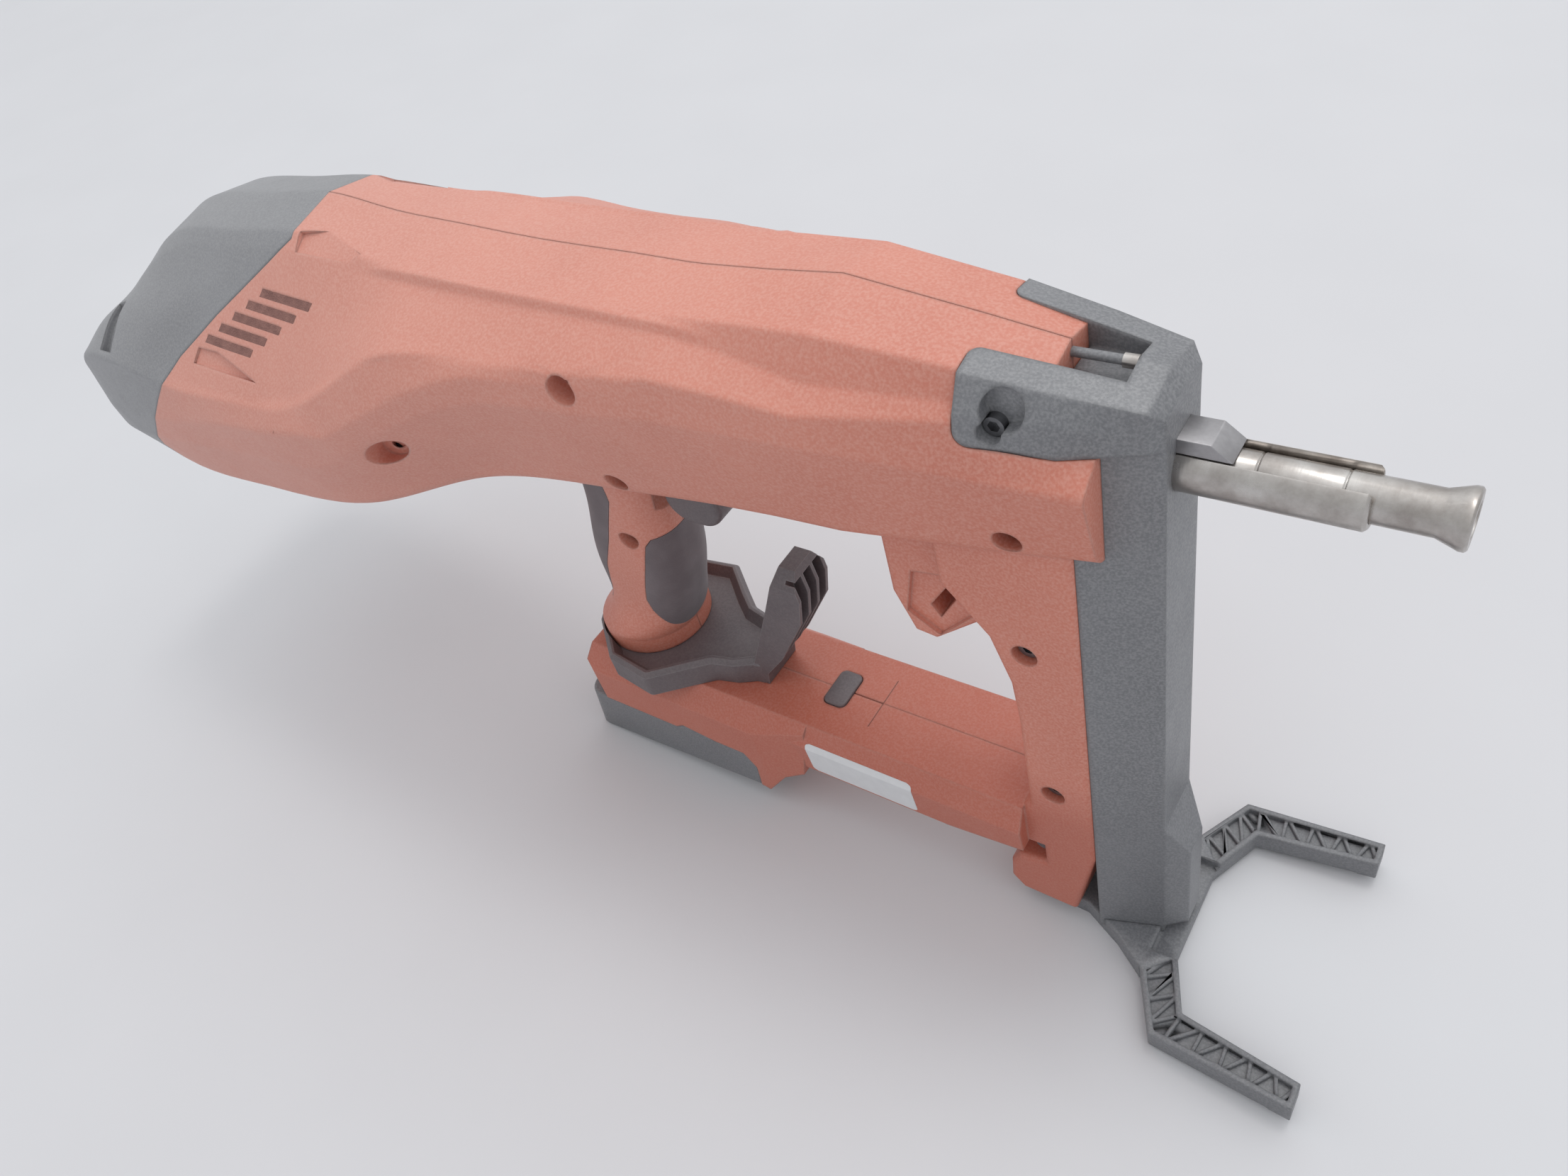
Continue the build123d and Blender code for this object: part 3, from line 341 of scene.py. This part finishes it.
finishes = [
    (redMaterial, ["housing_right", "housing_left"]),
    (darkMaterial, [
        "rear_cap", "nose_bracket", "foot_skirt", "support_fork", "bracket_rod", "motor_can",
        "cooling_fan", "trigger_switch", "battery_terminals", "control_board"]),
    (hookMaterial, ["mode_button", "trigger", "scaffold_hook", "claw_pin"]),
    (rubberMaterial, ["grip_rubber_front", "grip_rubber_rear", "front_bumper"]),
    (steelMaterial, [
        "nose_sleeve", "fastener_guide", "rod_ferrule", "piston", "piston_barrel",
        "lead_spindle", "spindle_bearing", "motor_pinion", "spring_carrier"]),
    (screwMaterial, ["housing_screws", "bracket_screws"]),
    (zincMaterial, ["guide_lock_block"]),
]
for material, names in finishes:
    for name in names:
        nodes[name].data.materials.clear()
        nodes[name].data.materials.append(material)
print("finishes on", sum(len(names) for material, names in finishes), "nodes")


# moulded and machined edges are never knife sharp: each of these nodes gets its own small round, in mm
edgeRounds = {
    "foot_skirt": 0.8,
    "support_fork": 0.35, "mode_button": 0.5, "trigger": 0.4,
    "guide_lock_block": 0.3, "nose_sleeve": 0.15, "fastener_guide": 0.12,
}
roundForm = {"weldMm": 0.002, "flatDegrees": 0.4, "sharpDegrees": 28.0, "segments": 2}


def roundEdges(node, widthMm, look):
    weld = node.modifiers.new("weld", "WELD")
    weld.merge_threshold = look["weldMm"] * mm
    flatten = node.modifiers.new("flatten", "DECIMATE")
    flatten.decimate_type = "DISSOLVE"
    flatten.angle_limit = math.radians(look["flatDegrees"])
    bevel = node.modifiers.new("round", "BEVEL")
    bevel.width = widthMm * mm
    bevel.segments = look["segments"]
    bevel.limit_method = "ANGLE"
    bevel.angle_limit = math.radians(look["sharpDegrees"])
    bevel.use_clamp_overlap = False
    bevel.harden_normals = True
    bevel.miter_outer = "MITER_ARC"
    node.data.polygons.foreach_set("use_smooth", [True] * len(node.data.polygons))


for name, width in edgeRounds.items():
    roundEdges(nodes[name], width, roundForm)
print("edges rounded on", len(edgeRounds), "nodes")


def smoothStep(value):
    value = min(max(value, 0.0), 1.0)
    return value * value * (3 - 2 * value)


# a rounded hill of height 1 around the middle
def hill(value, middle, width):
    return math.exp(-((value - middle) / width) ** 2)


# evenly spaced values from first to last
def spread(first, last, count):
    return [first + (last - first) * i / count for i in range(count + 1)]


# faces between neighbouring rows of points
def addSheet(shape, rows):
    for upper, lower in zip(rows, rows[1:]):
        for i in range(len(upper) - 1):
            shape.faces.new((upper[i], upper[i + 1], lower[i + 1], lower[i]))


def meshFrom(shape, name):
    mesh = bpy.data.meshes.new(name)
    shape.to_mesh(mesh)
    shape.free()
    return mesh


def placePiece(name, mesh, material, body):
    mesh.materials.append(material)
    piece = bpy.data.objects.new(name, mesh)
    bpy.context.scene.collection.objects.link(piece)
    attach(piece, body)
    return piece


# one belt along each side: it leans out from the ridge to a lower edge and falls back in to the belly;
# each row holds the place along the body, how far the edge stands out, and the heights of ridge,
# edge and belly, all in mm
sideBelt = {
    "rows": [
        (-500.0, 0.0, -25.0, -42.0, -66.0), (-474.0, 2.2, -20.0, -37.0, -70.0),
        (-450.0, 3.0, -16.0, -33.0, -74.0), (-416.0, 3.8, -12.9, -29.1, -74.0),
        (-387.0, 4.6, -11.4, -22.1, -72.0), (-359.0, 5.4, -10.3, -18.8, -68.0),
        (-333.0, 6.0, -5.2, -14.9, -60.0), (-319.0, 7.0, 1.5, -14.2, -54.0),
        (-293.0, 7.0, 13.4, -1.6, -44.0), (-274.0, 5.5, 17.8, 7.5, -36.0),
        (-257.0, 4.0, 18.9, 13.7, -28.0), (-246.0, 2.5, 19.3, 15.8, -26.0),
        (-220.0, 1.2, 20.7, 16.0, -22.0), (-185.0, 0.0, 21.6, 17.0, -20.0)],
    "insideFrom": 18.0, "insideTo": 34.0, "longestEdge": 2.2, "seamCrease": 7.0, "crease": 80.0,
}


def beltOut(x, y, z, look):
    rows = look["rows"]
    if not rows[0][0] < x < rows[-1][0]:
        return 0.0
    after = next(i for i, row in enumerate(rows) if row[0] >= x)
    share = (x - rows[after - 1][0]) / (rows[after][0] - rows[after - 1][0])
    out, ridge, edge, belly = (a + (b - a) * share for a, b in zip(rows[after - 1][1:], rows[after][1:]))
    rise = (ridge - z) / (ridge - edge) if z > edge else (z - belly) / (edge - belly)
    skin = smoothStep((abs(y) - look["insideFrom"]) / (look["insideTo"] - look["insideFrom"]))
    return out * skin * max(rise, 0.0)


def inBelt(edge, look):
    ends = [vertex.co / mm for vertex in edge.verts]
    rows = look["rows"]
    low = min(row[4] for row in rows)
    high = max(row[2] for row in rows)
    along = max(end.x for end in ends) > rows[0][0] and min(end.x for end in ends) < rows[-1][0]
    upright = max(end.z for end in ends) > low and min(end.z for end in ends) < high
    return along and upright and max(abs(end.y) for end in ends) > look["insideFrom"]


def beltedPoint(point, look):
    x, y, z = point / mm
    side = 1 if y > 0 else -1
    return Vector((x, y + side * beltOut(x, y, z, look), z)) * mm


# the skin of a node, to be met by rays from the side that start well outside it
farOutMm = 200.0


def skinOf(name):
    mesh = nodes[name].data
    points = [vertex.co.copy() for vertex in mesh.vertices]
    return BVHTree.FromPolygons(points, [list(polygon.vertices) for polygon in mesh.polygons])


def hitFromSide(skin, x, z, side):
    return skin.ray_cast(Vector((x, side * farOutMm, z)) * mm, Vector((0, -side, 0)))[0]


def proudOf(skin, x, z, side, proudMm):
    return hitFromSide(skin, x, z, side) + Vector((0, side * proudMm * mm, 0))


# the roof runs on a little past its edge and drops to the shoulder in one short steep step
roofStep = {
    "fromX": -306.0, "toX": -166.0, "fade": 16.0,
    "start": 21.2, "crest": 23.1, "foot": 24.3, "rise": 1.25,
    "lowest": 27.0, "highest": 34.0, "marginMm": 0.8, "longestEdge": 0.6,
}


def stepRise(x, y, z, look):
    if not (look["fromX"] < x < look["toX"] and look["lowest"] < z < look["highest"]):
        return 0.0
    ends = smoothStep((x - look["fromX"]) / look["fade"]) * smoothStep((look["toX"] - x) / look["fade"])
    out = abs(y)
    climb = (out - look["start"]) / (look["crest"] - look["start"])
    drop = (look["foot"] - out) / (look["foot"] - look["crest"])
    return look["rise"] * ends * max(min(climb, drop), 0.0)


def inStep(edge, look):
    ends = [vertex.co / mm for vertex in edge.verts]
    outs = [abs(end.y) for end in ends]
    along = max(end.x for end in ends) > look["fromX"] and min(end.x for end in ends) < look["toX"]
    across = max(outs) > look["start"] - look["marginMm"] and min(outs) < look["foot"] + look["marginMm"]
    return along and across and min(end.z for end in ends) > look["lowest"] - look["marginMm"]


# screw holes of the right side: the place and radius they have, and where and how long they lie here
sideHoles = {
    "upper": {
        "x": -211.0, "z": 17.0, "radius": 5.4, "toX": -213.0, "toZ": 14.9, "long": 0.86, "short": 0.86,
        "lean": 0.0, "reach": 17.0, "floor": 31.5},
    "belly": {
        "x": -307.0, "z": -27.0, "radius": 3.9, "toX": -302.0, "toZ": -22.5, "long": 3.2, "short": 1.25,
        "lean": 32.0, "reach": 24.0, "floor": 38.0},
}


# small bores that a ray falls into are bridged from around them, if they are deeper than this,
# and points this near to the bridged side count as lying on it
boreBridge = {"aroundMm": 3.5, "deeperThanMm": 1.5, "nearMm": 0.4}


# how far out the unpierced left side is at a place
def wholeSide(skin, x, z, look):
    around = look["aroundMm"]
    depths = []
    for dx, dz in ((0, 0), (around, 0), (-around, 0), (0, -around), (0, around)):
        hit = hitFromSide(skin, x + dx, z + dz, 1)
        depths.append(hit.y / mm if hit else 0.0)
    middle = sorted(depths)[len(depths) // 2]
    return depths[0] if abs(depths[0] - middle) < look["deeperThanMm"] else middle


# the right side's point, slid with its hole along the mirrored left side
def slidPoint(point, holes, bridge, skin):
    x, y, z = point / mm
    for hole in holes.values():
        out = Vector((x - hole["x"], z - hole["z"]))
        if out.length > hole["reach"] or -y < hole["floor"]:
            continue
        share = min(1.0, (hole["reach"] - out.length) / (hole["reach"] - hole["radius"]))
        ring = share if out.length < hole["radius"] else hole["radius"] / out.length * share
        turn = Matrix.Rotation(math.radians(hole["lean"]), 2)
        own = turn.transposed() @ out
        own.x *= 1 + (hole["long"] - 1) * ring
        own.y *= 1 + (hole["short"] - 1) * ring
        grown = turn @ own
        newX = hole["x"] + grown.x + (hole["toX"] - hole["x"]) * share
        newZ = hole["z"] + grown.y + (hole["toZ"] - hole["z"]) * share
        if -y > wholeSide(skin, x, z, bridge) - bridge["nearMm"]:
            y = -wholeSide(skin, newX, newZ, bridge)
        return Vector((newX, y, newZ)) * mm
    return point


# a finer copy of a node, its points moved by a rule; edges that were seams in the node crease sooner
finerMesh = {"weldMm": 0.003, "halvings": 7}


def reshapedMesh(name, source, tooLong, movedPoint, seamCrease, crease):
    shape = bmesh.new()
    shape.from_mesh(nodes[source].data)
    for edge in shape.edges:
        edge.smooth = not edge.is_boundary
    bmesh.ops.remove_doubles(shape, verts=shape.verts, dist=finerMesh["weldMm"] * mm)
    for halving in range(finerMesh["halvings"]):
        bmesh.ops.subdivide_edges(shape, edges=[edge for edge in shape.edges if tooLong(edge)], cuts=1)
        bmesh.ops.triangulate(shape, faces=[face for face in shape.faces if len(face.verts) > 3])
    for vertex in shape.verts:
        vertex.co = movedPoint(vertex.co)
    shape.normal_update()
    for edge in shape.edges:
        limit = crease if edge.smooth else seamCrease
        edge.smooth = edge.calc_face_angle(math.pi) < math.radians(limit)
    for face in shape.faces:
        face.smooth = True
    mesh = meshFrom(shape, name)
    if "custom_normal" in mesh.attributes:
        mesh.attributes.remove(mesh.attributes["custom_normal"])
    return mesh


def makeBelts(look, holes, bridge, step):
    skin = skinOf("housing_left")

    def tooLong(edge):
        length = edge.calc_length() / mm
        if length > look["longestEdge"] and inBelt(edge, look):
            return True
        return length > step["longestEdge"] and inStep(edge, step)

    def moved(point):
        x, y, z = beltedPoint(slidPoint(point, holes, bridge, skin), look) / mm
        return Vector((x, y, z + stepRise(x, y, z, step))) * mm

    for name, source in (("shellRight", "housing_right"), ("shellLeft", "housing_left")):
        mesh = reshapedMesh(name, source, tooLong, moved, look["seamCrease"], look["crease"])
        shell = placePiece(name, mesh, redMaterial, "body")
        even = shell.modifiers.new("evenShading", "WEIGHTED_NORMAL")
        even.keep_sharp = True
        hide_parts(source)


makeBelts(sideBelt, sideHoles, boreBridge, roofStep)
print("side belts shaped")


# the tail cap carries the belt on, and its shoulder rolls over more softly
tailForm = {
    "parting": [
        (60.0, -338.0), (27.3, -352.0), (9.0, -384.0), (-5.0, -406.0),
        (-21.5, -425.0), (-55.0, -461.0), (-90.0, -468.0)],
    "blend": 26.0, "shoulder": 3.6, "shoulderOut": 43.0, "shoulderSpread": 11.0,
    "shoulderFrom": -24.0, "shoulderFull": -6.0, "endFrom": -474.0, "endTo": -500.0,
    "longestEdge": 3.5, "crease": 30.0,
}


def partingAt(height, line):
    for (highZ, highX), (lowZ, lowX) in zip(line, line[1:]):
        if height >= lowZ:
            return highX + (lowX - highX) * (highZ - height) / (highZ - lowZ)
    return line[-1][1]


def swollenPoint(point, look, belt):
    x, y, z = beltedPoint(point, belt) / mm
    behindLine = smoothStep((partingAt(z, look["parting"]) - x) / look["blend"])
    nearEnd = 1 - smoothStep((look["endFrom"] - x) / (look["endFrom"] - look["endTo"]))
    upper = smoothStep((z - look["shoulderFrom"]) / (look["shoulderFull"] - look["shoulderFrom"]))
    shoulder = hill(abs(y), look["shoulderOut"], look["shoulderSpread"])
    up = look["shoulder"] * behindLine * nearEnd * upper * shoulder
    return Vector((x, y, z + up)) * mm


def makeTail(look, belt):
    def tooLong(edge):
        return edge.calc_length() > look["longestEdge"] * mm

    def moved(point):
        return swollenPoint(point, look, belt)

    mesh = reshapedMesh("tailCap", "rear_cap", tooLong, moved, look["crease"], look["crease"])
    tail = placePiece("tailCap", mesh, darkMaterial, "body")
    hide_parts("rear_cap")


makeTail(tailForm, sideBelt)
print("tail cap shaped")


# coated film: cool white with a faint satin cloud
def coatedFilm(name, look):
    material, tree, shader, place = newMaterial(name)
    cloud = addNode(tree, "ShaderNodeTexNoise", {
        "Vector": place, "Scale": perMetre(look["cloudMm"]), "Detail": 3.0})
    tone = addNode(
        tree, "ShaderNodeValToRGB", {"Fac": cloud.outputs["Fac"]},
        ramp=((0.0, look["dull"]), (1.0, look["pale"])))
    bump = addNode(tree, "ShaderNodeBump", {
        "Height": cloud.outputs["Fac"], "Strength": look["cloudStrength"],
        "Distance": look["cloudDepthMm"] * mm})
    tree.links.new(tone.outputs["Color"], shader.inputs["Base Color"])
    tree.links.new(bump.outputs["Normal"], shader.inputs["Normal"])
    shader.inputs["Roughness"].default_value = look["roughness"]
    return material


blankLabel = {
    "back": -186.5, "front": -142.5, "top": -150.4, "bottom": -167.0, "round": 1.8,
    "proud": 0.02, "thick": 0.12, "rows": 24, "columns": 12,
    "pale": "#dfe0e2", "dull": "#d2d3d5", "roughness": 0.45,
    "cloudMm": 4.0, "cloudStrength": 0.15, "cloudDepthMm": 0.05,
}


def makeLabel(look):
    skin = skinOf("housing_right")
    shape = bmesh.new()
    rows = []
    for z in spread(look["top"], look["bottom"], look["rows"]):
        into = max(look["round"] - (look["top"] - z), look["round"] - (z - look["bottom"]), 0.0)
        pull = look["round"] - math.sqrt(look["round"] ** 2 - into ** 2)
        spots = spread(look["front"] - pull, look["back"] + pull, look["columns"])
        rows.append([shape.verts.new(proudOf(skin, x, z, -1, look["proud"])) for x in spots])
    addSheet(shape, rows)
    bmesh.ops.recalc_face_normals(shape, faces=shape.faces[:])
    mesh = meshFrom(shape, "blankLabel")
    label = placePiece("blankLabel", mesh, coatedFilm("coatedFilm", look), "body")
    film = label.modifiers.new("film", "SOLIDIFY")
    film.thickness = look["thick"] * mm
    film.offset = 1.0


makeLabel(blankLabel)


# painted slot shade: dark brown sheets laid flush over the air slots and part of their bars, standing in
# for the shade inside wider slots, mottled paler, with a netting bump
def paintedSlotShade(name, look):
    material, tree, shader, place = newMaterial(name)
    threads = addNode(tree, "ShaderNodeTexVoronoi", {
        "Vector": place, "Scale": perMetre(look["threadMm"])})
    shadeMottle = addNode(tree, "ShaderNodeTexNoise", {
        "Vector": place, "Scale": perMetre(look["shadeMottleMm"]), "Detail": 4.0})
    tone = addNode(
        tree, "ShaderNodeValToRGB", {"Fac": shadeMottle.outputs["Fac"]},
        ramp=((look["toneFrom"], look["dark"]), (look["toneTo"], look["paleShade"])))
    bump = addNode(tree, "ShaderNodeBump", {
        "Height": threads.outputs["Distance"], "Strength": look["threadStrength"],
        "Distance": look["threadDepthMm"] * mm})
    tree.links.new(tone.outputs["Color"], shader.inputs["Base Color"])
    tree.links.new(bump.outputs["Normal"], shader.inputs["Normal"])
    shader.inputs["Roughness"].default_value = look["roughness"]
    return material


# the sheets of painted slot shade: where they lie over the slots, and their two shade colours
slotShadeSheet = {
    "count": 5, "front": -327.6, "back": -356.6, "middle": 18.65, "stepX": -8.2, "stepZ": -4.1,
    "half": 1.15, "lean": 1.8, "proud": 0.05, "columns": 8,
    "dark": "#7d5750", "paleShade": "#936a61", "toneFrom": 0.3, "toneTo": 0.7, "shadeMottleMm": 3.0,
    "threadMm": 0.6, "threadStrength": 0.8, "threadDepthMm": 0.3, "roughness": 0.85,
}


def makeSlotShade(look):
    material = paintedSlotShade("paintedSlotShade", look)
    edges = ((look["half"], look["lean"] / 2), (-look["half"], -look["lean"] / 2))
    shells = (("slotShadeRight", -1, "housing_right"), ("slotShadeLeft", 1, "housing_left"))
    for name, side, shell in shells:
        skin = skinOf(shell)
        shape = bmesh.new()
        for index in range(look["count"]):
            z = look["middle"] + look["stepZ"] * index
            rows = []
            for lift, lean in edges:
                front, back = (look[end] + look["stepX"] * index + lean for end in ("front", "back"))
                points = [
                    proudOf(skin, x, z + lift, side, look["proud"])
                    for x in spread(front, back, look["columns"])]
                rows.append([shape.verts.new(point) for point in points])
            addSheet(shape, rows)
        bmesh.ops.recalc_face_normals(shape, faces=shape.faces[:])
        placePiece(name, meshFrom(shape, name), material, "body")


makeSlotShade(slotShadeSheet)


# webs between the support arms' ribs: inner and outer edge of an arm, ahead of the column, tip first
armWeb = {
    "inner": [(53.0, 42.5), (15.8, 37.6), (7.6, 18.6)],
    "outer": [(53.0, 49.0), (9.4, 46.4), (-1.0, 27.2)],
    "reach": 54.0, "below": 3.0, "thick": 0.8, "steps": 6,
}


def makeWebs(look):
    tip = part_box("support_fork")[1]
    shape = bmesh.new()
    for side in (-1, 1):
        rows = []
        for start, end in ((0, 1), (1, 2)):
            for i in range(look["steps"] + 1):
                share = i / look["steps"]
                row = []
                for edge in ("inner", "outer"):
                    (x0, y0), (x1, y1) = look[edge][start], look[edge][end]
                    ahead = x0 + (x1 - x0) * share - look["reach"]
                    out = y0 + (y1 - y0) * share
                    row.append(shape.verts.new((
                        tip[0] + ahead * mm, side * out * mm, tip[2] - look["below"] * mm)))
                rows.append(row)
        addSheet(shape, rows)
    bmesh.ops.recalc_face_normals(shape, faces=shape.faces[:])
    webs = placePiece("armWebs", meshFrom(shape, "armWebs"), darkMaterial, "body")
    plate = webs.modifiers.new("plate", "SOLIDIFY")
    plate.thickness = look["thick"] * mm
    plate.offset = 0.0


makeWebs(armWeb)
# the sheets placed here are painted slot shade
print("label, shadeSheets and webs placed")


# pale, faintly clouded laminate table: the tool rests on the fork's keel and the skirt's rear edge,
# so the top leans a little
tableTop = {
    "front": (-60.0, -209.0), "rear": (-304.0, -193.6), "gap": 0.1, "sizeM": 30.0,
    "pale": "#d2d2d5", "dull": "#cdcdd0", "cloudMm": 90.0, "roughness": 0.6,
}


def makeTable(look):
    material, tree, shader, place = newMaterial("laminateTop")
    cloud = addNode(tree, "ShaderNodeTexNoise", {
        "Vector": place, "Scale": perMetre(look["cloudMm"]), "Detail": 4.0})
    tone = addNode(
        tree, "ShaderNodeValToRGB", {"Fac": cloud.outputs["Fac"]},
        ramp=((0.0, look["dull"]), (1.0, look["pale"])))
    tree.links.new(tone.outputs["Color"], shader.inputs["Base Color"])
    shader.inputs["Roughness"].default_value = look["roughness"]
    half = look["sizeM"] / 2
    slope = (look["rear"][1] - look["front"][1]) / (look["rear"][0] - look["front"][0])
    along = Vector((1, 0, slope)).normalized() * half
    across = Vector((0, half, 0))
    middle = Vector((look["front"][0], 0, look["front"][1] - look["gap"])) * mm
    corners = [middle + sx * along + sy * across for sx, sy in ((-1, -1), (1, -1), (1, 1), (-1, 1))]
    mesh = bpy.data.meshes.new("tableTop")
    mesh.from_pydata(corners, [], [(0, 1, 2, 3)])
    mesh.materials.append(material)
    table = bpy.data.objects.new("tableTop", mesh)
    bpy.context.scene.collection.objects.link(table)


makeTable(tableTop)


# a bright ceiling that fades towards dimmer walls, and one lamp almost overhead
# that gives the faint shadow its edge
overhead = {
    "from": (0.06, 0.49, 1.95), "to": (-0.25, 0.0, -0.1), "sizeM": 0.5, "watts": 6.5, "hex": "#fffdfa",
}
room = {
    "hex": "#f6f8fa", "wallStrength": 0.68, "ceilingStrength": 0.8,
    "brightest": (0.08, 0.22, 0.97), "falloff": 2.0,
}


def makeLamp(lamp):
    data = bpy.data.lights.new("overhead", "AREA")
    data.shape = "SQUARE"
    data.size = lamp["sizeM"]
    data.energy = lamp["watts"]
    data.color = linear(lamp["hex"])[:3]
    light = bpy.data.objects.new("overhead", data)
    aim = (Vector(lamp["to"]) - Vector(lamp["from"])).to_track_quat("-Z", "Y")
    light.matrix_world = Matrix.Translation(lamp["from"]) @ aim.to_matrix().to_4x4()
    bpy.context.scene.collection.objects.link(light)


def makeRoom(walls):
    world = bpy.data.worlds.new("room")
    world.use_nodes = True
    tree = world.node_tree
    tree.nodes.clear()
    away = addNode(tree, "ShaderNodeTexCoord").outputs["Generated"]
    height = addNode(tree, "ShaderNodeVectorMath", {
        0: away, 1: walls["brightest"]}, operation="DOT_PRODUCT")
    above = addNode(tree, "ShaderNodeMath", {
        0: height.outputs["Value"], 1: 0.0}, operation="MAXIMUM")
    fade = addNode(tree, "ShaderNodeMath", {
        0: above.outputs["Value"], 1: walls["falloff"]}, operation="POWER")
    strength = addNode(tree, "ShaderNodeMath", {
        0: fade.outputs["Value"], 1: walls["ceilingStrength"],
        2: walls["wallStrength"]}, operation="MULTIPLY_ADD")
    wall = addNode(tree, "ShaderNodeBackground", {
        "Color": linear(walls["hex"]), "Strength": strength.outputs["Value"]})
    addNode(tree, "ShaderNodeOutputWorld", {"Surface": wall.outputs[0]})
    bpy.context.scene.world = world


makeLamp(overhead)
makeRoom(room)
bpy.context.scene.view_settings.view_transform = "Standard"
print("table and light set")
